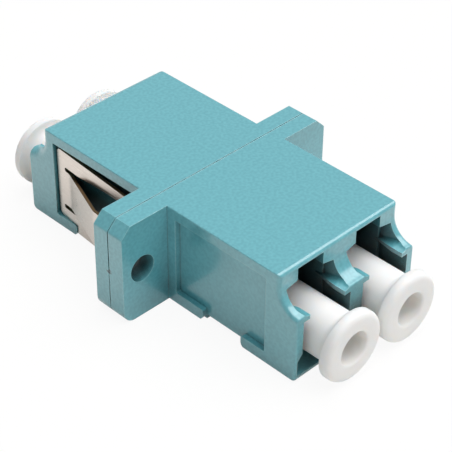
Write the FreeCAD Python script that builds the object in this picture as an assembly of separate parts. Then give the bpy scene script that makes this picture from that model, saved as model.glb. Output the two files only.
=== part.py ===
import FreeCAD, Part
import math
import os
from FreeCAD import Vector

# Duplex LC fibre adapter with a single-SC footprint. Two moulded halves, alike but for the rounder roof
# corners of the rear one, meet in the middle of a panel flange and carry two ports each. Every port has
# a sleeve holder on its inner wall, a ceramic split sleeve runs through each pair of holders, and a white
# dust plug closes each port. A folded steel clip sits in the side pockets of the rear half and springs
# its two tongues out behind the panel.
#
# Millimetres. X runs across the two ports, Y along the fibres with +Y on the clip's side, Z is up.
# The origin is at the middle of the underside, in the plane where the halves meet.

# ---- Housing body -----------------------------------------------------------------------------
body_width = 12.8
body_height = 9.0
body_length = 30.2
roof_setback = 1.87
front_roof_corner = 0.35
rear_roof_corner = 0.7
roof_corner_share = 0.85
roof_edge_radius = 0.1
foot_corner_radius = 0.45
edge_radius = 0.15

# ---- Panel flange -----------------------------------------------------------------------------
flange_thickness = 3.1
flange_chamfer = 0.9
flange_shoulder_radius = 0.3
flange_foot_radius = 1.1
seam_gap = 0.1
seam_depth = 0.35
hole_diameter = 2.3
hole_pitch = 18.0
ear_margin = 2.0

# ---- Ports ------------------------------------------------------------------------------------
port_pitch = 6.25
port_axis_height = 3.15
connector_body = 4.5
connector_play = 0.05
mouth_depth = 2.7
mouth_side_wall = 0.7
mouth_divider = 1.4
web_thickness = 1.6

# Wide groove along the foot of each mouth.
groove_floor = 0.55
groove_height = 1.4
groove_side_wall = 0.2
groove_bevel = 0.45

# Latch slot under the roof, between two hanging blocks with sloped undersides.
roof_thickness = 0.35
slot_width = 2.7
slot_height = 1.05
block_slope_drop = 0.2
block_length = 3.6
chamber_length = 3.5
chamber_roof = 0.6

# Guide ledges on both sides of each mouth, one pair on the lugs and one pair on the divider. Their tops
# are hollow and sweep up into the wall.
lug_rise = 0.55
ledge_reach = 0.65
ledge_root = 0.1
ledge_edge_thickness = 0.38
ledge_top_rise = 0.55
ledge_hollow = 0.4
ledge_length = 3.4
ledge_ramp_length = 2.3
ledge_tail_reach = 0.2
ledge_tail_thickness = 0.08

# ---- Sleeves and their holders ----------------------------------------------------------------
sleeve_bore = 1.25
sleeve_diameter = 1.62
sleeve_length = 6.8
sleeve_slit = 0.25
sleeve_radial_play = 0.065
sleeve_end_play = 0.15
holder_diameter = 2.6
holder_lip = 0.5
holder_mouth = 1.4
holder_chamfer = 0.2

# ---- Side pockets and the strap channel under the body ----------------------------------------
pocket_depth = 0.5
pocket_rib = 0.87
pocket_end = 11.9
pocket_top = 8.1
sill_height = 1.07
pocket_corner_radius = 0.15
channel_start = 5.35
channel_end = 9.45
channel_depth = 0.4
sill_round = 0.55

# ---- Spring clip ------------------------------------------------------------------------------
clip_thickness = 0.25
clip_end_gap = 0.22
clip_rib_gap = 0.3
clip_lean = 4.0
clip_top = 7.7
clip_sill_gap = 0.04
clip_strap_gap = 0.08
clip_strap_side_gap = 0.06
clip_bend_radius = 0.15
clip_top_corner_radius = 0.45
clip_foot_corner_radius = 0.6
slit_width = 0.4
upper_slit_height = 6.05
lower_slit_height = 2.25
upper_slit_inset = 0.95
lower_slit_inset = 0.62
tongue_root_inset = 1.15
tongue_bend_inset = 1.55
tongue_flare = 16.5
tongue_bend_radius = 2.0
tongue_knee_inset = 6.75
tongue_knee_radius = 1.2
tongue_length = 8.3
tongue_corner_radius = 0.4
lip_start_inset = 2.75
lip_radius = 0.5
lip_height = 0.75
finger_corner_radius = 0.2

# ---- Dust plugs -------------------------------------------------------------------------------
plug_diameter = 4.2
plug_web_gap = 0.3
plug_length = 16.0
plug_rim_diameter = 5.9
plug_rim_thickness = 0.9
plug_flare_length = 0.8
plug_rim_radius = 0.45
plug_recess_diameter = 2.8
plug_recess_depth = 6.5
plug_recess_taper = 0.15
plug_recess_round = 0.2
plug_holder_play = 0.06
plug_holder_depth = 4.0
plug_tip_chamfer = 0.3

# ---- Worked out from the sizes above ----------------------------------------------------------
half_width = body_width / 2
half_length = body_length / 2
roof_end = half_length - roof_setback
half_flange = hole_pitch / 2 + ear_margin
half_thickness = flange_thickness / 2
hole_height = body_height / 2
port_x = port_pitch / 2
bore_half = connector_body / 2 + connector_play
bore_floor = port_axis_height - bore_half
bore_top = port_axis_height + bore_half
mouth_start = half_length - mouth_depth
mouth_outer = half_width - mouth_side_wall
mouth_inner = mouth_divider / 2
slot_top = body_height - roof_thickness
block_bottom = slot_top - slot_height
lug_top = bore_top + lug_rise
arc_top = lug_top + roof_setback
# The rounding of a roof corner stays inside the face that is left above the arc.
roof_corner_limit = roof_corner_share * (body_height - arc_top)
holder_end = sleeve_length / 2 + sleeve_end_play + holder_lip
pocket_start = half_thickness + pocket_rib
pocket_floor = half_width - pocket_depth
clip_rear = pocket_end - clip_end_gap
clip_front = pocket_start + clip_rib_gap
overshoot = 1.0
overlap = 0.01


def box(x0, x1, y0, y1, z0, z1):
    """Block between two opposite corners."""
    return Part.makeBox(x1 - x0, y1 - y0, z1 - z0, Vector(x0, y0, z0))


def rounded_path(corners, closed):
    """Edges through the corners, where each is (point, radius) and a radius above 0 is a tangent arc."""
    count = len(corners)
    entries = []
    exits = []
    arcs = []
    for i, (point, radius) in enumerate(corners):
        inner = closed or 0 < i < count - 1
        if radius <= 0 or not inner:
            entries.append(point)
            exits.append(point)
            arcs.append(None)
            continue
        back = (corners[i - 1][0] - point).normalize()
        ahead = (corners[(i + 1) % count][0] - point).normalize()
        half_angle = back.getAngle(ahead) / 2
        reach = radius / math.tan(half_angle)
        bisector = (back + ahead).normalize()
        middle = point + bisector * (radius / math.sin(half_angle) - radius)
        entry = point + back * reach
        exit_point = point + ahead * reach
        entries.append(entry)
        exits.append(exit_point)
        arcs.append(Part.Arc(entry, middle, exit_point).toShape())
    edges = []
    for i in range(count):
        if arcs[i] is not None:
            edges.append(arcs[i])
        following = i + 1 if i + 1 < count else 0
        if following == 0 and not closed:
            break
        if (entries[following] - exits[i]).Length > 1e-6:
            edges.append(Part.LineSegment(exits[i], entries[following]).toShape())
    return Part.Wire(edges)


def prism_x(outline, x0, x1):
    """Solid between x0 and x1 whose section in the YZ plane has the corners (y, z, radius)."""
    wire = rounded_path([(Vector(x0, y, z), r) for y, z, r in outline], True)
    return Part.Face(wire).extrude(Vector(x1 - x0, 0, 0))


def prism_y(outline, y0, y1):
    """Solid between y0 and y1 whose section in the XZ plane has the corners (x, z, radius)."""
    wire = rounded_path([(Vector(x, y0, z), r) for x, z, r in outline], True)
    return Part.Face(wire).extrude(Vector(0, y1 - y0, 0))


def cylinder_y(x, z, radius, y0, y1):
    """Round bar along Y."""
    return Part.makeCylinder(radius, y1 - y0, Vector(x, y0, z), Vector(0, 1, 0))


def mirror_x(shape):
    """The same shape on the other side of the YZ plane."""
    return shape.mirror(Vector(0, 0, 0), Vector(1, 0, 0))


def edges_where(shape, test):
    """Edges whose two ends both pass the test."""
    return [edge for edge in shape.Edges if all(test(v.Point) for v in edge.Vertexes)]


def near(a, b):
    return abs(a - b) < 1e-5


# ---- Housing half, built on the -Y side -------------------------------------------------------


def body_envelope(roof_corner):
    """Outer block: a plain box whose roof stops short and falls to the lug tips in a hollow arc.

    It ends inside the flange, so that only the flange reaches the plane where the halves meet.
    """
    inside_flange = -half_thickness / 2
    diagonal = roof_setback * math.sin(math.pi / 4)
    foot_inset = foot_corner_radius * (1 - math.sin(math.pi / 4))
    lug_tip = Vector(-half_width, -half_length, lug_top)
    arc_middle = Vector(-half_width, -half_length + diagonal, arc_top - diagonal)
    arc_end = Vector(-half_width, -roof_end, arc_top)
    roof_front = Vector(-half_width, -roof_end, body_height)
    roof_back = Vector(-half_width, inside_flange, body_height)
    foot_back = Vector(-half_width, inside_flange, 0)
    foot_front = Vector(-half_width, -half_length + foot_corner_radius, 0)
    foot_middle = Vector(-half_width, -half_length + foot_inset, foot_inset)
    lug_foot = Vector(-half_width, -half_length, foot_corner_radius)
    pieces = [
        Part.Arc(foot_front, foot_middle, lug_foot),
        Part.LineSegment(lug_foot, lug_tip),
        Part.Arc(lug_tip, arc_middle, arc_end),
        Part.LineSegment(arc_end, roof_front),
        Part.LineSegment(roof_front, roof_back),
        Part.LineSegment(roof_back, foot_back),
        Part.LineSegment(foot_back, foot_front),
    ]
    wire = Part.Wire([piece.toShape() for piece in pieces])
    block = Part.Face(wire).extrude(Vector(body_width, 0, 0))

    def at_side(point):
        return near(abs(point.x), half_width)

    roof_corners = edges_where(block, lambda p: at_side(p) and near(p.y, -roof_end) and p.z > arc_top - 1e-5)
    block = block.makeFillet(min(roof_corner, roof_corner_limit), roof_corners)
    roof_edges = edges_where(block, lambda p: near(p.z, body_height))
    roof_edges = [edge for edge in roof_edges if not near(edge.CenterOfMass.y, inside_flange)]
    block = block.makeFillet(roof_edge_radius, roof_edges)
    low_edges = edges_where(block, lambda p: at_side(p) and (near(p.y, -half_length) or near(p.z, 0)))
    low_edges = [edge for edge in low_edges if near(abs(edge.CenterOfMass.x), half_width)]
    return block.makeFillet(edge_radius, low_edges)


def flange_plate(inset, y1):
    """Flange outline, pulled in all round by the inset, from the flange's face to y1."""
    half = half_flange - inset
    top = body_height - inset
    # A 45 degree bevel gets shorter by this much when its outline is pulled in.
    chamfer = flange_chamfer - inset * (2 - math.sqrt(2))
    outline = [
        (-half, inset, flange_foot_radius - inset),
        (half, inset, flange_foot_radius - inset),
        (half, top - chamfer, flange_shoulder_radius),
        (half - chamfer, top, 0),
        (-half + chamfer, top, 0),
        (-half, top - chamfer, flange_shoulder_radius),
    ]
    return prism_y(outline, -half_thickness, y1)


def flange_half():
    """Half of the panel flange, with bevelled shoulders, rounded feet and a narrow open joint all round."""
    return flange_plate(0, -seam_gap / 2).fuse(flange_plate(seam_depth, 0))


def side_pocket():
    """Cutter for the -X side pocket, which opens downwards between its two sills."""
    below = -overshoot
    beside = sill_round + overshoot
    outline = [
        (-pocket_start, pocket_top, pocket_corner_radius),
        (-pocket_end, pocket_top, pocket_corner_radius),
        (-pocket_end, sill_height, pocket_corner_radius),
        (-channel_end, sill_height, pocket_corner_radius),
        (-channel_end, 0, sill_round),
        (-channel_end - beside, 0, 0),
        (-channel_end - beside, below, 0),
        (-channel_start + beside, below, 0),
        (-channel_start + beside, 0, 0),
        (-channel_start, 0, sill_round),
        (-channel_start, sill_height, pocket_corner_radius),
        (-pocket_start, sill_height, pocket_corner_radius),
    ]
    return prism_x(outline, -half_width - overshoot, -pocket_floor)


def strap_channel():
    """Cutter for the shallow channel that the clip's strap crosses under the body."""
    return box(
        -half_width - overshoot,
        half_width + overshoot,
        -channel_end,
        -channel_start,
        -overshoot,
        channel_depth,
    )


def port_cavity():
    """Cutter for the +X port: mouth, connector bore, latch slot and the chamber behind its blocks."""
    front = -half_length - overshoot
    slot_left = port_x - slot_width / 2
    slot_right = port_x + slot_width / 2
    mouth = [
        (mouth_inner, bore_floor, 0),
        (mouth_outer, bore_floor, 0),
        (mouth_outer, block_bottom - block_slope_drop, 0),
        (slot_right, block_bottom, 0),
        (slot_right, slot_top, 0),
        (slot_left, slot_top, 0),
        (slot_left, block_bottom, 0),
        (mouth_inner, block_bottom - block_slope_drop, 0),
    ]
    bore_left = port_x - bore_half
    bore_right = port_x + bore_half
    latch_way = [
        (bore_left, bore_floor, 0),
        (bore_right, bore_floor, 0),
        (bore_right, block_bottom - block_slope_drop, 0),
        (slot_right, block_bottom, 0),
        (slot_right, slot_top, 0),
        (slot_left, slot_top, 0),
        (slot_left, block_bottom, 0),
        (bore_left, block_bottom - block_slope_drop, 0),
    ]
    groove_top = groove_floor + groove_height
    groove_outer = half_width - groove_side_wall
    groove = [
        (mouth_inner, groove_floor, 0),
        (groove_outer, groove_floor, 0),
        (groove_outer, groove_top, 0),
        (groove_outer - groove_bevel, groove_top + groove_bevel, 0),
        (mouth_inner, groove_top + groove_bevel, 0),
    ]
    block_end = -(roof_end - block_length)
    chamber_end = block_end + chamber_length
    cutter = prism_y(mouth, front, -mouth_start)
    cutter = cutter.fuse(prism_y(groove, front, -mouth_start))
    cutter = cutter.fuse(prism_y(latch_way, -mouth_start - overlap, block_end))
    chamber_top = body_height - chamber_roof
    cutter = cutter.fuse(box(bore_left, bore_right, block_end - overlap, chamber_end, bore_floor, chamber_top))
    bore = box(bore_left, bore_right, chamber_end - overlap, -web_thickness, bore_floor, bore_top)
    return cutter.fuse(bore)


def ledge(wall_x, direction):
    """Guide ledge on the wall at wall_x, reaching along direction, with a ramp at its inner end."""
    root_x = wall_x - direction * ledge_root
    tip = -half_length
    ramp_top = tip + ledge_length - ledge_ramp_length
    tail = tip + ledge_length

    def section(y, reach, edge_thickness, rise):
        """Section with a flat underside and a hollow top between the ledge's edge and the wall."""
        edge_x = wall_x + direction * reach
        root_foot = Vector(root_x, y, bore_top)
        edge_foot = Vector(edge_x, y, bore_top)
        edge_top = Vector(edge_x, y, bore_top + edge_thickness)
        root_top = Vector(root_x, y, bore_top + edge_thickness + rise)
        corner = Vector(root_x, y, bore_top + edge_thickness)
        chord_middle = (edge_top + root_top) / 2
        hollow_middle = chord_middle + (corner - chord_middle) * ledge_hollow
        return Part.Wire([
            Part.LineSegment(root_foot, edge_foot).toShape(),
            Part.LineSegment(edge_foot, edge_top).toShape(),
            Part.Arc(edge_top, hollow_middle, root_top).toShape(),
            Part.LineSegment(root_top, root_foot).toShape(),
        ])

    sections = [
        section(tip, ledge_reach, ledge_edge_thickness, ledge_top_rise),
        section(ramp_top, ledge_reach, ledge_edge_thickness, ledge_top_rise),
        section(tail, ledge_tail_reach, ledge_tail_thickness, ledge_tail_thickness),
    ]
    return Part.makeLoft(sections, True, True)


def sleeve_holder():
    """Boss of the +X port, on the inner wall, that keeps one end of the split sleeve."""
    boss = cylinder_y(port_x, port_axis_height, holder_diameter / 2, -holder_end, -web_thickness)
    tip_edges = edges_where(boss, lambda p: near(p.y, -holder_end))
    return boss.makeChamfer(holder_chamfer, tip_edges)


def sleeve_bore_cutter():
    """Cutter for the sleeve's bore, narrowed at the holder's lip."""
    bore_radius = sleeve_diameter / 2 + sleeve_radial_play
    lip_start = -(holder_end - holder_lip)
    bore = cylinder_y(port_x, port_axis_height, bore_radius, lip_start, overshoot)
    mouth = cylinder_y(port_x, port_axis_height, holder_mouth / 2, -holder_end - overshoot, lip_start)
    return bore.fuse(mouth)


def housing_half(roof_corner):
    """One moulded half on the -Y side, with its roof corners rounded by roof_corner."""
    envelope = body_envelope(roof_corner)
    solid = envelope.fuse(flange_half())
    solid = solid.cut([port_cavity(), mirror_x(port_cavity())])
    ledges = [ledge(mouth_outer, -1), ledge(mouth_inner, 1)]
    ledges = [piece.common(envelope) for piece in ledges]
    holder = sleeve_holder()
    additions = ledges + [holder]
    additions = additions + [mirror_x(piece) for piece in additions]
    solid = solid.fuse(additions)
    pocket = side_pocket()
    hole = cylinder_y(hole_pitch / 2, hole_height, hole_diameter / 2, -half_thickness - overshoot, overshoot)
    bore = sleeve_bore_cutter()
    cutters = [pocket, mirror_x(pocket), strap_channel(), hole, mirror_x(hole), bore, mirror_x(bore)]
    return solid.cut(cutters).removeSplitter()


# ---- Spring clip ------------------------------------------------------------------------------


def clip_outer_x():
    """Outer face of the side plate where it lies flat on the pocket's floor."""
    return -(pocket_floor + clip_thickness)


def side_plate():
    """Side plate before its tongue and lip: two slits from the flange end leave a finger and a foot."""
    rear = clip_rear
    front = clip_front
    half_slit = slit_width / 2
    foot = sill_height + clip_sill_gap
    upper_end = rear - upper_slit_inset
    lower_end = rear - lower_slit_inset
    root = rear - tongue_root_inset
    lip_start = rear - lip_start_inset
    outline = [
        (rear, foot, clip_foot_corner_radius),
        (rear, clip_top, clip_top_corner_radius),
        (lip_start, clip_top, 0),
        (lip_start, upper_slit_height + half_slit, 0),
        (upper_end, upper_slit_height + half_slit, half_slit),
        (upper_end, upper_slit_height - half_slit, half_slit),
        (root, upper_slit_height - half_slit, 0),
        (root, lower_slit_height + half_slit, 0),
        (lower_end, lower_slit_height + half_slit, half_slit),
        (lower_end, lower_slit_height - half_slit, half_slit),
        (front, lower_slit_height - half_slit, finger_corner_radius),
        (front, foot, finger_corner_radius),
    ]
    return prism_x(outline, clip_outer_x(), -pocket_floor)


def rolled_finger():
    """Finger above the upper slit, whose lower edge rolls inwards more and more towards the flange."""
    outer = clip_outer_x()
    inner = -pocket_floor
    bottom = upper_slit_height + slit_width / 2
    knee = bottom + lip_height
    start = clip_rear - lip_start_inset

    def section(y, roll):
        """Section with its lower part bent by the roll angle, in radians, away from the outer face."""
        radius = lip_height / roll
        points = []
        for share in (0.5, 1.0):
            turn = roll * share
            outer_point = Vector(outer + radius * (1 - math.cos(turn)), y, knee - radius * math.sin(turn))
            inward = Vector(math.cos(turn), 0, math.sin(turn))
            points.append((outer_point, outer_point + inward * clip_thickness))
        (outer_mid, inner_mid), (outer_end, inner_end) = points
        top_outer = Vector(outer, y, clip_top)
        top_inner = Vector(inner, y, clip_top)
        knee_outer = Vector(outer, y, knee)
        knee_inner = Vector(inner, y, knee)
        return Part.Wire([
            Part.LineSegment(top_inner, top_outer).toShape(),
            Part.LineSegment(top_outer, knee_outer).toShape(),
            Part.Arc(knee_outer, outer_mid, outer_end).toShape(),
            Part.LineSegment(outer_end, inner_end).toShape(),
            Part.Arc(inner_end, inner_mid, knee_inner).toShape(),
            Part.LineSegment(knee_inner, top_inner).toShape(),
        ])

    full_roll = lip_height / lip_radius
    first_roll = full_roll / 100
    return Part.makeLoft([section(start, first_roll), section(clip_front, full_roll)], True, True)


def tongue():
    """Panel tongue, bent out of the plate at its root and back to parallel at its knee."""
    middle_x = -(pocket_floor + clip_thickness / 2)
    root = clip_rear - tongue_root_inset
    bend = clip_rear - tongue_bend_inset
    knee = clip_rear - tongue_knee_inset
    end = clip_rear - tongue_length
    knee_x = middle_x - (bend - knee) * math.tan(math.radians(tongue_flare))
    bottom = lower_slit_height + slit_width / 2
    top = upper_slit_height - slit_width / 2
    path = rounded_path(
        [
            (Vector(middle_x, root, bottom), 0),
            (Vector(middle_x, bend, bottom), tongue_bend_radius),
            (Vector(knee_x, knee, bottom), tongue_knee_radius),
            (Vector(knee_x, end, bottom), 0),
        ],
        False,
    )
    half_sheet = clip_thickness / 2
    corners = [
        Vector(middle_x - half_sheet, root, bottom),
        Vector(middle_x + half_sheet, root, bottom),
        Vector(middle_x + half_sheet, root, top),
        Vector(middle_x - half_sheet, root, top),
    ]
    profile = Part.makePolygon(corners + corners[:1])
    strip = path.makePipeShell([profile], True, False)
    end_edges = edges_where(strip, lambda p: near(p.y, end))
    end_edges = [edge for edge in end_edges if edge.Length < clip_thickness * 1.5]
    return strip.makeFillet(tongue_corner_radius, end_edges)


def strap_corner():
    """Side, bend and half strap of the -X side as one long angle, later trimmed to the channel."""
    outer = clip_outer_x()
    top = lower_slit_height - slit_width / 2
    strap_top = channel_depth - clip_strap_gap
    strap_bottom = strap_top - clip_thickness
    outer_bend = clip_bend_radius + clip_thickness
    outline = [
        (outer, top, 0),
        (outer, strap_bottom, outer_bend),
        (overshoot, strap_bottom, 0),
        (overshoot, strap_top, 0),
        (-pocket_floor, strap_top, clip_bend_radius),
        (-pocket_floor, top, 0),
    ]
    return prism_y(outline, 0, pocket_end)


def leaned(shape):
    """Turned about the plate's rear edge, so that the plate stands off its pocket towards the flange."""
    turned = shape.copy()
    turned.rotate(Vector(-pocket_floor, clip_rear, 0), Vector(0, 0, 1), -clip_lean)
    return turned


def spring_clip():
    """Clip folded from one sheet: two side plates with a tongue each, joined by a strap underneath."""
    plate = leaned(side_plate().fuse([rolled_finger(), tongue()]))
    trim = box(
        -half_width - overshoot,
        0,
        channel_start + clip_strap_side_gap,
        channel_end - clip_strap_side_gap,
        -overshoot,
        body_height,
    )
    strap = leaned(strap_corner()).common(trim)
    half_clip = plate.fuse(strap)
    return half_clip.fuse(mirror_x(half_clip)).removeSplitter()


# ---- Sleeves and dust plugs -------------------------------------------------------------------


def split_sleeve(x):
    """Ceramic alignment sleeve with a slit along its top."""
    half = sleeve_length / 2
    tube = cylinder_y(x, port_axis_height, sleeve_diameter / 2, -half, half)
    tube = tube.cut(cylinder_y(x, port_axis_height, sleeve_bore / 2, -half - overshoot, half + overshoot))
    half_slit = sleeve_slit / 2
    slit = box(
        x - half_slit,
        x + half_slit,
        -half - overshoot,
        half + overshoot,
        port_axis_height,
        port_axis_height + sleeve_diameter,
    )
    return tube.cut(slit)


def dust_plug(x):
    """Front dust plug: a shank that slips over the sleeve holder, and a flared rim to pull it by."""
    tip = web_thickness + plug_web_gap
    end = tip + plug_length
    shank = plug_diameter / 2
    rim = plug_rim_diameter / 2
    flare_start = end - plug_rim_thickness - plug_flare_length
    rim_start = end - plug_rim_thickness
    recess = plug_recess_diameter / 2
    recess_end = end - plug_recess_depth
    recess_floor_radius = recess - plug_recess_taper
    socket = holder_diameter / 2 + plug_holder_play
    socket_end = tip + plug_holder_depth

    def at(radius, distance):
        return Vector(x + radius, -distance, port_axis_height)

    # Share of a quarter arc's radius that its middle lies inside the square corner.
    inset = 1 - math.sin(math.pi / 4)
    recess_in = plug_recess_round * inset
    rim_in = plug_rim_radius * inset
    floor = [at(0, recess_end), at(recess_floor_radius, recess_end), at(recess, end - plug_recess_round)]
    edges = [Part.LineSegment(a, b).toShape() for a, b in zip(floor, floor[1:])]
    recess_lip = Part.Arc(floor[-1], at(recess + recess_in, end - recess_in), at(recess + plug_recess_round, end))
    rim_face = Part.LineSegment(at(recess + plug_recess_round, end), at(rim - plug_rim_radius, end))
    rim_front = Part.Arc(
        at(rim - plug_rim_radius, end),
        at(rim - rim_in, end - rim_in),
        at(rim, end - plug_rim_radius),
    )
    rim_side = Part.LineSegment(at(rim, end - plug_rim_radius), at(rim, rim_start))
    flare = Part.Arc(
        at(rim, rim_start),
        at(shank + (rim - shank) * inset, rim_start - plug_flare_length * inset),
        at(shank, flare_start),
    )
    edges += [piece.toShape() for piece in (recess_lip, rim_face, rim_front, rim_side, flare)]
    corners = [
        at(shank, flare_start),
        at(shank, tip + plug_tip_chamfer),
        at(shank - plug_tip_chamfer, tip),
        at(socket, tip),
        at(socket, socket_end),
        at(0, socket_end),
        at(0, recess_end),
    ]
    edges += [Part.LineSegment(a, b).toShape() for a, b in zip(corners, corners[1:])]
    profile = Part.Face(Part.Wire(edges))
    return profile.revolve(Vector(x, 0, port_axis_height), Vector(0, 1, 0), 360)


def turned_round(shape):
    """The same piece turned half a turn about the vertical axis, from the front to the rear."""
    turned = shape.copy()
    turned.rotate(Vector(0, 0, 0), Vector(0, 0, 1), 180)
    return turned


# ---- Parts ------------------------------------------------------------------------------------

plug_left = dust_plug(-port_x)
plug_right = dust_plug(port_x)

parts = {
    "front_housing": housing_half(front_roof_corner),
    "rear_housing": turned_round(housing_half(rear_roof_corner)),
    "spring_clip": spring_clip(),
    "split_sleeve_left": split_sleeve(-port_x),
    "split_sleeve_right": split_sleeve(port_x),
    "dust_plug_front_left": plug_left,
    "dust_plug_front_right": plug_right,
    "dust_plug_rear_left": turned_round(plug_right),
    "dust_plug_rear_right": turned_round(plug_left),
}

os.makedirs("parts", exist_ok=True)
for name, shape in parts.items():
    solids = shape.Solids
    if len(solids) != 1 or not solids[0].isValid():
        raise ValueError(name + " is not one valid solid")
    solids[0].exportStep("parts/" + name + ".step")
    box_of = solids[0].BoundBox
    print(
        name,
        "volume %.3f" % solids[0].Volume,
        "x %.3f..%.3f" % (box_of.XMin, box_of.XMax),
        "y %.3f..%.3f" % (box_of.YMin, box_of.YMax),
        "z %.3f..%.3f" % (box_of.ZMin, box_of.ZMax),
    )
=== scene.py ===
# %% [markdown]
# # A duplex fibre adapter and its four dust plugs
#
# The adapter is a small moulded coupler. Two fibre plugs meet in each of its two ports, end to
# end. Its shape comes from the construction model, so this lesson only has to give it its finish:
# moulded plastic, cold-rolled spring steel, soft plug plastic and polished ceramic. It then adds
# the little flash that welding leaves along the joint line, a floor, light and a camera.
#
# Everything is in metres and in the model's own frame: X runs across the two ports, Y along the
# fibres with +Y towards the half that carries the spring clip, and Z is up.

# %% Load the model
import math

import bpy
from mathutils import Euler, Matrix, Vector


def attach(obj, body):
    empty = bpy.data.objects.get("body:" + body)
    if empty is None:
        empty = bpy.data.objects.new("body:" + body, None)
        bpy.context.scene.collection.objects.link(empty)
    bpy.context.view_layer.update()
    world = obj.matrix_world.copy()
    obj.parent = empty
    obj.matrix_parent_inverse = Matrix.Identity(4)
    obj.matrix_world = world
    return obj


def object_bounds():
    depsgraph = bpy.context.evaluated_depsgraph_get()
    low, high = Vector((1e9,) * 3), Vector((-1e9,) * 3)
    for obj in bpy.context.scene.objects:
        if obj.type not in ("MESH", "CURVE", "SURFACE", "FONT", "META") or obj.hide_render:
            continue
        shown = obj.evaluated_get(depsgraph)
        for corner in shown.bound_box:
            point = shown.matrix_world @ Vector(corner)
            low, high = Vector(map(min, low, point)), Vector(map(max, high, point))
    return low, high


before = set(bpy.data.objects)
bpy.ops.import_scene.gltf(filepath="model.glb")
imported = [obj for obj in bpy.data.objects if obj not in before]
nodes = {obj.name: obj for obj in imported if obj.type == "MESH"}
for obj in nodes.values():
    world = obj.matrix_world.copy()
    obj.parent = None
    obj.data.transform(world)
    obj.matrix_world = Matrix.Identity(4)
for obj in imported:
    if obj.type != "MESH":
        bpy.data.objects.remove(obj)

MM = 0.001
cad_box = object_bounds()
print("pieces from the model:", sorted(nodes))


# %% [markdown]
# ## Helpers
#
# Colours are picked as sRGB hex values, as a designer reads them off a chart. Shaders need linear
# light, so one function turns every hex value to linear. One small function adds a node of any kind
# with its settings and its links, and four short ones add the kinds that every finish here uses.
# The last two start a new material and put a finished one on pieces of the model.

# %% Helpers for colours and nodes
# A noise texture stays between these two values nearly everywhere.
NOISE_LOW, NOISE_HIGH = 0.3, 0.7


def linear(hex_code):
    """Linear RGBA from an sRGB hex value."""
    values = [int(hex_code[i : i + 2], 16) / 255 for i in (1, 3, 5)]
    return [v / 12.92 if v <= 0.04045 else ((v + 0.055) / 1.055) ** 2.4 for v in values] + [1.0]


def feed(tree, node, **inputs):
    """Sets or links a node's inputs. _ in an input's name is a space, and i0 is its first input."""
    for name, value in inputs.items():
        key = int(name[1:]) if name[0] == "i" and name[1:].isdigit() else name.replace("_", " ")
        if isinstance(value, bpy.types.NodeSocket):
            tree.links.new(value, node.inputs[key])
        else:
            node.inputs[key].default_value = value
    return node


def add(tree, kind, settings=None, **inputs):
    """Adds a node, sets its properties, and sets or links its inputs as feed does."""
    made = tree.nodes.new(kind)
    for name, value in (settings or {}).items():
        setattr(made, name, value)
    return feed(tree, made, **inputs)


def noise(tree, place, size, detail):
    """A noise pattern with lumps of the given size."""
    return add(tree, "ShaderNodeTexNoise", Vector=place, Scale=1 / size, Detail=detail).outputs[0]


def fade(tree, value, start, end, low=0.0, high=1.0, kind="LINEAR"):
    """Goes from low to high while the value goes from start to end, and stays there."""
    return add(
        tree, "ShaderNodeMapRange", {"interpolation_type": kind},
        Value=value, From_Min=start, From_Max=end, To_Min=low, To_Max=high,
    ).outputs[0]


def cover(tree, share, under, over):
    """The colour under, with the colour over laid on it as far as the share says."""
    mixed = add(tree, "ShaderNodeMix", {"data_type": "RGBA"}, i0=share, i6=under, i7=over)
    return mixed.outputs[2]


def combine(tree, operation, first, second):
    """One step of arithmetic on two values."""
    return add(tree, "ShaderNodeMath", {"operation": operation}, i0=first, i1=second).outputs[0]


def new_material(name):
    """A material with only its surface shader, and the object coordinates that its patterns use."""
    material = bpy.data.materials.new(name)
    material.use_nodes = True
    tree = material.node_tree
    tree.nodes.clear()
    shader = add(tree, "ShaderNodeBsdfPrincipled")
    add(tree, "ShaderNodeOutputMaterial", Surface=shader.outputs[0])
    place = add(tree, "ShaderNodeTexCoord")
    return material, tree, shader, place


def give(material, *names):
    """Puts the material in the only slot of each named node of the model."""
    for name in names:
        slots = nodes[name].data.materials
        slots.clear()
        slots.append(material)
    print(material.name, "on", ", ".join(names))


print("mid grey in linear light:", round(linear("#808080")[0], 3))


# %% [markdown]
# ## The moulded housing: PBT
#
# The halves are taken to be injection-moulded PBT, a hard, slightly waxy engineering plastic that
# is coloured through with aqua pigment. Moulding against polished steel leaves a skin of nearly
# pure resin, so the surface has two kinds of shine: a soft one from the body and a sharper one from
# the skin. Seen at a low angle the skin mirrors the table, and the side mirrors the flange.
#
# A plain colour would look like paper, so the colour comes first, with a faint mottle where the
# pigment mixed unevenly.

# %% Aqua pigment with a faint mottle
AQUA = "#60ADB9"
AQUA_PALE = "#6AB8C3"
MOTTLE_SIZE = 0.25 * MM

pbt, tree, shader, place = new_material("moulded_pbt_aqua")
where = place.outputs["Object"]
mottle = noise(tree, where, MOTTLE_SIZE, 0.0)
share = fade(tree, mottle, NOISE_LOW, NOISE_HIGH)
body_colour = cover(tree, share, linear(AQUA), linear(AQUA_PALE))
print("aqua from", AQUA, "to", AQUA_PALE)

# %% [markdown]
# The Bevel node looks a little way round every edge and bends the normal there. Where that leaves
# the flat normal, an edge or a corner is near. Ambient Occlusion over a quarter of a millimetre
# tells the two apart: outer edges stand open and get a paler tone, a painted highlight where a
# moulded edge would catch the light, and inner corners are shut in and get a darker painted shade.

# %% Painted highlights on outer edges and painted shade in inner corners
AQUA_EDGE_HIGHLIGHT = "#A6DCE1"
AQUA_CORNER_SHADE = "#2F6A73"
BEVEL_SAMPLES = 6
OCCLUSION_SAMPLES = 8
HIGHLIGHT_WIDTH = 0.13 * MM
HIGHLIGHT_MOST = 0.75
CORNER_REACH = 0.25 * MM
# The normal still counts as flat at the first value, and as fully turned at the second.
TURN_FROM, TURN_FULL = 0.995, 0.8
# Below the first value a place is an inner corner, and above the second an outer edge.
INNER_CORNER, OUTER_EDGE = 0.7, 0.9

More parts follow.
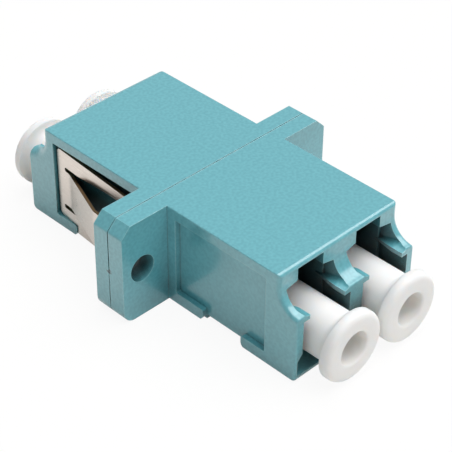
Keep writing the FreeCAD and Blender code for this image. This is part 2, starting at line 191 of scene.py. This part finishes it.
flat = add(tree, "ShaderNodeNewGeometry")
wide_round = add(tree, "ShaderNodeBevel", {"samples": BEVEL_SAMPLES}, Radius=HIGHLIGHT_WIDTH)
bend = add(
    tree, "ShaderNodeVectorMath", {"operation": "DOT_PRODUCT"},
    i0=wide_round.outputs[0], i1=flat.outputs["Normal"],
)
turned = fade(tree, bend.outputs["Value"], TURN_FROM, TURN_FULL, high=HIGHLIGHT_MOST)
corner = add(
    tree, "ShaderNodeAmbientOcclusion", {"samples": OCCLUSION_SAMPLES}, Distance=CORNER_REACH
)
outer = fade(tree, corner.outputs["AO"], INNER_CORNER, OUTER_EDGE)
# Paler outer edges are a painted highlight, and darker inner corners are a painted shade.
edge_highlight_share = combine(tree, "MULTIPLY", turned, outer)
corner_shade_share = combine(tree, "SUBTRACT", turned, edge_highlight_share)
highlighted_colour = cover(tree, edge_highlight_share, body_colour, linear(AQUA_EDGE_HIGHLIGHT))
edge_painted_colour = cover(tree, corner_shade_share, highlighted_colour, linear(AQUA_CORNER_SHADE))
print("edge tones:", AQUA_EDGE_HIGHLIGHT, AQUA_CORNER_SHADE)

# %% [markdown]
# Deep in the ports and the screw holes the real part looks nearly black. The soft lamp and the
# white table here throw more light in than that, so a dark tone is laid there in the colour. It
# stands in for shadow and is no pigment. Ambient Occlusion over the depth of a port finds the
# places, and the tone fades out near the table, which also shuts light in.

# %% Dark tone deep in the ports
AQUA_DEEP = "#202527"
PORT_DEPTH = 6.0 * MM
DEEP_MOST = 0.92
# A place starts to darken at the first value and is darkest at the second.
SHUT_FROM, SHUT_FULL = 0.47, 0.18
# Height over the table where the tone starts, and where it is whole.
FOOT_OPEN = 0.1 * MM
FOOT_SHUT = 1.5 * MM

openness = add(
    tree, "ShaderNodeAmbientOcclusion", {"samples": OCCLUSION_SAMPLES}, Distance=PORT_DEPTH
)
shut_in = fade(
    tree, openness.outputs["AO"], SHUT_FROM, SHUT_FULL, high=DEEP_MOST, kind="SMOOTHSTEP"
)
height = add(tree, "ShaderNodeSeparateXYZ", Vector=where)
off_table = fade(tree, height.outputs[2], FOOT_OPEN, FOOT_SHUT)
deep_share = combine(tree, "MULTIPLY", shut_in, off_table)
deep = cover(tree, deep_share, edge_painted_colour, linear(AQUA_DEEP))
print("port tone:", AQUA_DEEP)

# %% [markdown]
# On the left edge of the flange the weld flash ends in a torn nib. Round it a ragged dark patch
# half a millimetre across is painted as the shadow that the nib casts.

# %% Painted shadow round the torn nib
TORN_AT = (-11.0 * MM, 0.0, 4.4 * MM)
NIB_SHADOW_REACH = 0.5 * MM
NIB_SHADOW_GRAIN = 0.2 * MM
NIB_SHADOW_MOST = 0.75
# The patch starts at the first value and is whole at the second, so noise frays its border.
NIB_SHADOW_FROM, NIB_SHADOW_FULL = 0.24, 0.34

away = add(tree, "ShaderNodeVectorMath", {"operation": "DISTANCE"}, i0=where, i1=TORN_AT)
near = fade(tree, away.outputs["Value"], NIB_SHADOW_REACH, 0.0)
ragged = noise(tree, where, NIB_SHADOW_GRAIN, 1.0)
shadow_patch = combine(tree, "MULTIPLY", near, ragged)
nib_shadow_share = fade(tree, shadow_patch, NIB_SHADOW_FROM, NIB_SHADOW_FULL, high=NIB_SHADOW_MOST)
# The nib's shadow is painted here in the ports' dark tone.
colour = cover(tree, nib_shadow_share, deep, linear(AQUA_DEEP))
print("painted_nib_shadow at", [round(c / MM, 2) for c in TORN_AT], "mm")

# %% [markdown]
# Last come the mould's fine grain as bump, and the shine. A narrow bevel rounds every edge in the
# shading only, so each moulded edge catches the light as a real one does. The resin skin is a coat
# that follows the rounded edges but not the grain.

# %% Grain, skin and shine
EDGE_ROUND = 0.05 * MM
# The real grain is about 0.03 mm, too fine to show, so it is drawn four times as coarse.
GRAIN_SIZE = 0.12 * MM
GRAIN_DEPTH = 0.002 * MM
GRAIN_STRENGTH = 0.35

rounded = add(tree, "ShaderNodeBevel", {"samples": BEVEL_SAMPLES}, Radius=EDGE_ROUND)
grain = noise(tree, where, GRAIN_SIZE, 1.0)
bump = add(
    tree, "ShaderNodeBump",
    Strength=GRAIN_STRENGTH, Distance=GRAIN_DEPTH, Height=grain, Normal=rounded.outputs[0],
)
feed(
    tree, shader, Base_Color=colour, Normal=bump.outputs[0], Roughness=0.29, IOR=1.6,
    Coat_Weight=0.9, Coat_Roughness=0.1, Coat_IOR=1.5, Coat_Normal=rounded.outputs[0],
)
give(pbt, "front_housing", "rear_housing")


# %% [markdown]
# ## Weld flash in the joint
#
# The two halves are welded. The joint is left a little open round the flange's rim to catch the
# melt, which stops just short of the surface, so the joint shows as a thin dark line all round. The
# line is uneven, because the melt rises higher in some places than in others. A few crumbs stick
# in it, and on the left edge the flash ends in a torn nib.
#
# The flash follows a path, so Geometry Nodes draw it. The path is the rim's outline, set in a
# little. A flat-topped bead runs along it with a thickness that noise changes, crumbs are scattered
# on points of the same path, and a larger crumb makes the nib where it starts.

# %% Path of the flash round the rim of the flange
RIM_HALF = 11.0 * MM
RIM_TOP = 9.0 * MM
RIM_BEVEL = 0.9 * MM
FOOT_RADIUS = 1.1 * MM
FLASH_START = 4.2 * MM
FLASH_INSET = 0.06 * MM
ARC_STEPS = 12
# Moving a chamfer in by a distance shortens its legs by this many times that distance.
BEVEL_LOSS = 2 - math.sqrt(2)

side = RIM_HALF - FLASH_INSET
top = RIM_TOP - FLASH_INSET
bevel = RIM_BEVEL - FLASH_INSET * BEVEL_LOSS
foot = FOOT_RADIUS - FLASH_INSET
turns = [step / ARC_STEPS * math.pi / 2 for step in range(ARC_STEPS + 1)]
left_foot = [(-side + foot - foot * math.cos(a), FOOT_RADIUS - foot * math.sin(a)) for a in turns]
right_foot = [(-x, z) for x, z in reversed(left_foot)]
shoulders = [(side, top - bevel), (side - bevel, top), (-side + bevel, top), (-side, top - bevel)]
outline = [(-side, FLASH_START)] + left_foot + right_foot + shoulders

path_mesh = bpy.data.meshes.new("weld_flash_path")
steps = [(i, i + 1) for i in range(len(outline) - 1)]
path_mesh.from_pydata([(x, 0, z) for x, z in outline], steps, [])
flash = bpy.data.objects.new("weld_flash", path_mesh)
bpy.context.scene.collection.objects.link(flash)
print("flash path points:", len(outline))

# %% [markdown]
# Each size is a named input of the tree, so the flash can be changed without opening it. The bead
# could be modelled by hand, but a swept profile follows the path by itself, and its noise gives
# the uneven melt. The seed is fixed, so the same crumbs appear each time.

# %% Geometry Nodes tree for the bead, the crumbs and the nib
# Share of the bead's full width where the melt stayed low, and where it rose highest.
BEAD_THIN, BEAD_THICK = 0.6, 0.92

tree = bpy.data.node_groups.new("weld_flash", "GeometryNodeTree")
tree.is_modifier = True
sizes = {}
tree.interface.new_socket("Geometry", in_out="OUTPUT", socket_type="NodeSocketGeometry")
tree.interface.new_socket("Geometry", in_out="INPUT", socket_type="NodeSocketGeometry")
for name, kind, value in (
    ("Bead Width", "NodeSocketFloat", 0.1 * MM),
    ("Point Spacing", "NodeSocketFloat", 0.12 * MM),
    ("Lump Size", "NodeSocketFloat", 0.6 * MM),
    ("Nib Radius", "NodeSocketFloat", 0.055 * MM),
    ("Crumb Radius", "NodeSocketFloat", 0.045 * MM),
    ("Crumb Share", "NodeSocketFloat", 0.12),
    ("Seed", "NodeSocketInt", 11),
):
    socket = tree.interface.new_socket(name, in_out="INPUT", socket_type=kind)
    socket.default_value = value
    sizes[name] = (socket.identifier, value)
given = tree.nodes.new("NodeGroupInput")
curve = add(tree, "GeometryNodeMeshToCurve", Mesh=given.outputs["Geometry"])
points = add(
    tree, "GeometryNodeResampleCurve", {"mode": "LENGTH"},
    Curve=curve.outputs[0], Length=given.outputs["Point Spacing"],
)
lump_scale = combine(tree, "DIVIDE", 1.0, given.outputs["Lump Size"])
lumps = add(
    tree, "ShaderNodeTexNoise", {"noise_dimensions": "4D"},
    W=given.outputs["Seed"], Scale=lump_scale, Detail=2.0,
)
swell = fade(tree, lumps.outputs[0], NOISE_LOW, NOISE_HIGH, BEAD_THIN, BEAD_THICK)
flat_bar = add(
    tree, "GeometryNodeCurvePrimitiveQuadrilateral",
    Width=given.outputs["Bead Width"], Height=given.outputs["Bead Width"],
)
bead = add(
    tree, "GeometryNodeCurveToMesh",
    Curve=points.outputs[0], Profile_Curve=flat_bar.outputs[0], Scale=swell, Fill_Caps=True,
)
crumb = add(
    tree, "GeometryNodeMeshIcoSphere", Radius=given.outputs["Crumb Radius"], Subdivisions=1
)
chosen = add(
    tree, "FunctionNodeRandomValue", {"data_type": "BOOLEAN"},
    Probability=given.outputs["Crumb Share"], Seed=given.outputs["Seed"],
)
crumbs = add(
    tree, "GeometryNodeInstanceOnPoints",
    Points=points.outputs[0], Selection=chosen.outputs[3], Instance=crumb.outputs[0],
)
nib = add(tree, "GeometryNodeMeshIcoSphere", Radius=given.outputs["Nib Radius"], Subdivisions=2)
start = add(tree, "GeometryNodeCurveEndpointSelection", Start_Size=1, End_Size=0)
torn_nib = add(
    tree, "GeometryNodeInstanceOnPoints",
    Points=points.outputs[0], Selection=start.outputs[0], Instance=nib.outputs[0],
)
joined = add(tree, "GeometryNodeJoinGeometry")
for part in (bead, crumbs, torn_nib):
    tree.links.new(part.outputs[0], joined.inputs[0])
real = add(tree, "GeometryNodeRealizeInstances", Geometry=joined.outputs[0])
painted = add(tree, "GeometryNodeSetMaterial", Geometry=real.outputs[0], Material=pbt)
result = tree.nodes.new("NodeGroupOutput")
tree.links.new(painted.outputs[0], result.inputs[0])
print("inputs of the flash tree:", ", ".join(sizes))

# %% [markdown]
# The result is kept as a plain mesh, so that it travels with the adapter and needs no modifier in
# any other program.

# %% Turn the flash into a plain mesh on the adapter
growth = flash.modifiers.new("weld_flash", "NODES")
growth.node_group = tree
for identifier, value in sizes.values():
    growth[identifier] = value
grown = flash.evaluated_get(bpy.context.evaluated_depsgraph_get())
flash_mesh = bpy.data.meshes.new_from_object(grown)
flash.modifiers.remove(growth)
flash.data = flash_mesh
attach(flash, "adapter")
print("flash triangles:", sum(len(face.vertices) - 2 for face in flash_mesh.polygons))


# %% [markdown]
# ## The dust plugs: soft polyethylene
#
# The dust plugs are taken to be natural white low-density polyethylene. It is soft and waxy, and a
# little light passes under its skin, so its shadows are never quite dark and have a warm tint.
# Subsurface scattering with a short radius gives that. Handling leaves broad, very shallow dents,
# so the bump is weak and a few tenths of a millimetre wide.
#
# The white is set close to full white, which is brighter than the real plastic. It makes up for
# the weak fill light on the faces that turn away from the lamp.

# %% Soft white polyethylene
PLUG_WHITE = "#FFFDFA"
PLUG_SHADE = "#FDFAF5"
CLOUD_SIZE = 1.5 * MM
DENT_SIZE = 0.7 * MM
DENT_DEPTH = 0.01 * MM
SOFT_EDGE = 0.1 * MM
LIGHT_REACH = 0.7 * MM

polyethylene, tree, shader, place = new_material("moulded_polyethylene_white")
where = place.outputs["Object"]
cloud = noise(tree, where, CLOUD_SIZE, 2.0)
tone = cover(tree, cloud, linear(PLUG_WHITE), linear(PLUG_SHADE))
dents = noise(tree, where, DENT_SIZE, 2.0)
soft_edge = add(tree, "ShaderNodeBevel", {"samples": 4}, Radius=SOFT_EDGE)
bump = add(
    tree, "ShaderNodeBump",
    Strength=0.5, Distance=DENT_DEPTH, Height=dents, Normal=soft_edge.outputs[0],
)
feed(
    tree, shader, Base_Color=tone, Normal=bump.outputs[0], Roughness=0.55, IOR=1.51,
    Subsurface_Weight=1.0, Subsurface_Radius=(1.0, 0.88, 0.8), Subsurface_Scale=LIGHT_REACH,
)
plugs = sorted(name for name in nodes if name.startswith("dust_plug"))
give(polyethylene, *plugs)


# %% [markdown]
# ## The spring clip: cold-rolled steel strip
#
# The clip is taken to be stamped from bright, cold-rolled spring steel and folded. Rolling leaves
# fine lines along the strip and a soft, satin mirror. Stamping shears the strip, and its sheared
# edges have a brownish gold tint.
#
# Rolling lines follow the plate, so the pattern is stretched along Y. The edges are found from the
# object's own normal: on the side plates the sheet faces left or right, so wherever the normal has
# little X in it, above the strap, the surface is a sheared edge.

# %% Rolled spring steel with sheared edges
STEEL = "#E3DAD2"
STEEL_DARK = "#D6CCC4"
SHEARED = "#8F775A"
ROLL_LINE = 0.12 * MM
ROLL_LENGTH = 5.0 * MM
ROLL_DEPTH = 0.002 * MM
STRAP_TOP = 0.6 * MM
SATIN_LOW, SATIN_HIGH = 0.26, 0.36
# Sideways share of the normal where a sheared edge starts, and where it is certain.
EDGE_FROM, EDGE_FULL = 0.3, 0.15

steel, tree, shader, place = new_material("cold_rolled_spring_steel")
where = place.outputs["Object"]
stretch = (1 / ROLL_LINE, 1 / ROLL_LENGTH, 1 / ROLL_LINE)
strip = add(tree, "ShaderNodeMapping", Vector=where, Scale=stretch)
lines = noise(tree, strip.outputs[0], 1.0, 3.0)
sheet_colour = cover(tree, lines, linear(STEEL), linear(STEEL_DARK))
facing = add(tree, "ShaderNodeSeparateXYZ", Vector=place.outputs["Normal"])
sideways = add(tree, "ShaderNodeMath", {"operation": "ABSOLUTE"}, i0=facing.outputs[0])
is_edge = fade(tree, sideways.outputs[0], EDGE_FROM, EDGE_FULL)
height = add(tree, "ShaderNodeSeparateXYZ", Vector=where)
above = combine(tree, "GREATER_THAN", height.outputs[2], STRAP_TOP)
sheared = combine(tree, "MULTIPLY", is_edge, above)
colour = cover(tree, sheared, sheet_colour, linear(SHEARED))
satin = fade(tree, lines, NOISE_LOW, NOISE_HIGH, SATIN_LOW, SATIN_HIGH)
bump = add(tree, "ShaderNodeBump", Strength=0.25, Distance=ROLL_DEPTH, Height=lines)
feed(
    tree, shader,
    Base_Color=colour, Roughness=satin, Normal=bump.outputs[0], Metallic=1.0,
)
give(steel, "spring_clip")


# %% [markdown]
# ## The split sleeves: zirconia
#
# Inside each port a slit ceramic tube lines the two fibres up. It is ground and polished zirconia,
# dense white with a glassy shine, because zirconia bends light far more than plastic does. It shows
# only when a dust plug is pulled out, but it still gets its own finish. Fine grinding rings run
# round the tube, so the pattern is tight along Y and stretched across it.

# %% Polished zirconia
ZIRCONIA = "#F2EFE6"
ZIRCONIA_RING = "#E8E4D8"
RING_PITCH = 0.1 * MM
RING_STRETCH = 10 * MM
RING_DEPTH = 0.001 * MM

zirconia, tree, shader, place = new_material("polished_zirconia")
stretch = (1 / RING_STRETCH, 1 / RING_PITCH, 1 / RING_STRETCH)
rings = add(tree, "ShaderNodeMapping", Vector=place.outputs["Object"], Scale=stretch)
ground = noise(tree, rings.outputs[0], 1.0, 2.0)
tone = cover(tree, ground, linear(ZIRCONIA), linear(ZIRCONIA_RING))
bump = add(tree, "ShaderNodeBump", Strength=0.2, Distance=RING_DEPTH, Height=ground)
feed(tree, shader, Base_Color=tone, Normal=bump.outputs[0], Roughness=0.12, IOR=2.15)
give(zirconia, "split_sleeve_left", "split_sleeve_right")


# %% [markdown]
# ## Floor and light
#
# The adapter lies on a plain white table under one big soft lamp. The lamp is a wide sun, high, to
# the right and a little in front, so the top is brightest, the mouths come next, and the left side
# gets only what the table throws back. The room gives a weak fill that comes from above and fades
# towards the horizon, which keeps the ports dark.
#
# The table is white for the camera and in reflections, through Light Path. A small share of the lit
# surface stays in view, so the soft shadow can still be seen. The room is white behind the table
# and half as bright in reflections.

# %% White table
FLOOR_SIZE = 1.2
TABLE_WHITE = "#FCFBF8"
FULL_WHITE = "#FFFFFF"
# The table lies a hair under the feet, so that the two flat faces never share one plane.
FLOOR_GAP = 0.01 * MM
TABLE_SHOWN_WHITE = 0.92
TABLE_MIRRORED_WHITE = 0.3

floor_height = cad_box[0][2] - FLOOR_GAP
bpy.ops.mesh.primitive_plane_add(size=FLOOR_SIZE, location=(0, 0, floor_height))
floor = bpy.context.object
floor.name = "table"
paper, tree, shader, place = new_material("white_table")
tree.nodes.remove(shader)
plain = add(tree, "ShaderNodeBsdfDiffuse", Color=linear(TABLE_WHITE))
white = add(tree, "ShaderNodeEmission", Color=linear(FULL_WHITE), Strength=1.0)
ray = add(tree, "ShaderNodeLightPath")
seen = combine(tree, "MULTIPLY", ray.outputs["Is Camera Ray"], TABLE_SHOWN_WHITE)
mirrored = add(
    tree, "ShaderNodeMath", {"operation": "MULTIPLY_ADD", "use_clamp": True},
    i0=ray.outputs["Is Glossy Ray"], i1=TABLE_MIRRORED_WHITE, i2=seen,
)
surface = add(
    tree, "ShaderNodeMixShader",
    i0=mirrored.outputs[0], i1=plain.outputs[0], i2=white.outputs[0],
)
output = next(n for n in tree.nodes if n.type == "OUTPUT_MATERIAL")
tree.links.new(surface.outputs[0], output.inputs["Surface"])
floor.data.materials.append(paper)
print("table at", round(floor_height / MM, 3), "mm")

# %% [markdown]
# A product table is lit by a large softbox or a tent, whose shadows have no hard edge. An area lamp
# would fall off across the object. A sun with a very wide disc gives the same soft shadow and an
# even level everywhere.

# %% One wide soft lamp
# Light on a flat top, where 1 shows a colour as it is written.
SUN_TOP = 0.98
SUN_TILT = math.radians(18)
SUN_FROM = math.radians(62)
SUN_SPREAD = math.radians(66)

sun_data = bpy.data.lights.new("wide_soft_lamp", "SUN")
sun_data.energy = math.pi * SUN_TOP / math.cos(SUN_TILT)
sun_data.angle = SUN_SPREAD
sun = bpy.data.objects.new("wide_soft_lamp", sun_data)
sun.rotation_euler = Euler((SUN_TILT, 0, SUN_FROM))
bpy.context.scene.collection.objects.link(sun)
print("lamp strength:", round(sun_data.energy, 3))

# %% [markdown]
# The room lights the shaded sides a little. Its strength grows with height, since a strong glow
# from the horizon would shine straight into the ports.

# %% A pale room round the table
FILL = 0.12
ROOM_MIRRORED = 0.5

world = bpy.data.worlds.new("pale_room")
bpy.context.scene.world = world
world.use_nodes = True
tree = world.node_tree
tree.nodes.clear()
ray = add(tree, "ShaderNodeLightPath")
towards = add(tree, "ShaderNodeTexCoord")
up = add(tree, "ShaderNodeSeparateXYZ", Vector=towards.outputs["Generated"])
fill = fade(tree, up.outputs[2], 0.0, 1.0, high=FILL)
reflected = add(
    tree, "ShaderNodeMix",
    i0=ray.outputs["Is Glossy Ray"], i2=fill, i3=ROOM_MIRRORED,
)
level = add(
    tree, "ShaderNodeMix",
    i0=ray.outputs["Is Camera Ray"], i2=reflected.outputs[0], i3=1.0,
)
sky = add(tree, "ShaderNodeBackground", Color=linear(FULL_WHITE), Strength=level.outputs[0])
add(tree, "ShaderNodeOutputWorld", Surface=sky.outputs[0])
bpy.context.scene.view_settings.view_transform = "Standard"
print("fill from above:", FILL)


# %% [markdown]
# ## Camera
#
# A close, slightly long lens looks down on the front left corner, so both white plugs, the flange
# and the clip show in one view. The place and the three angles are those of the reference view.

# %% Camera at the reference angle
CAMERA_PLACE = Vector((-70.11, -71.81, 79.32)) * MM
CAMERA_AZIMUTH = math.radians(-44.88)
CAMERA_ELEVATION = math.radians(37.298)
CAMERA_ROLL = math.radians(0.419)
LENS = 125.79
NEAREST = 5 * MM

camera_data = bpy.data.cameras.new("camera")
camera_data.lens = LENS
camera_data.clip_start = NEAREST
camera = bpy.data.objects.new("camera", camera_data)
turn = Matrix.Rotation(CAMERA_AZIMUTH, 3, "Z")
turn = turn @ Matrix.Rotation(math.pi / 2 - CAMERA_ELEVATION, 3, "X")
turn = turn @ Matrix.Rotation(CAMERA_ROLL, 3, "Z")
camera.matrix_world = Matrix.Translation(CAMERA_PLACE) @ turn.to_4x4()
bpy.context.scene.collection.objects.link(camera)
bpy.context.scene.camera = camera
print("camera looks down at", round(math.degrees(CAMERA_ELEVATION), 1), "degrees")
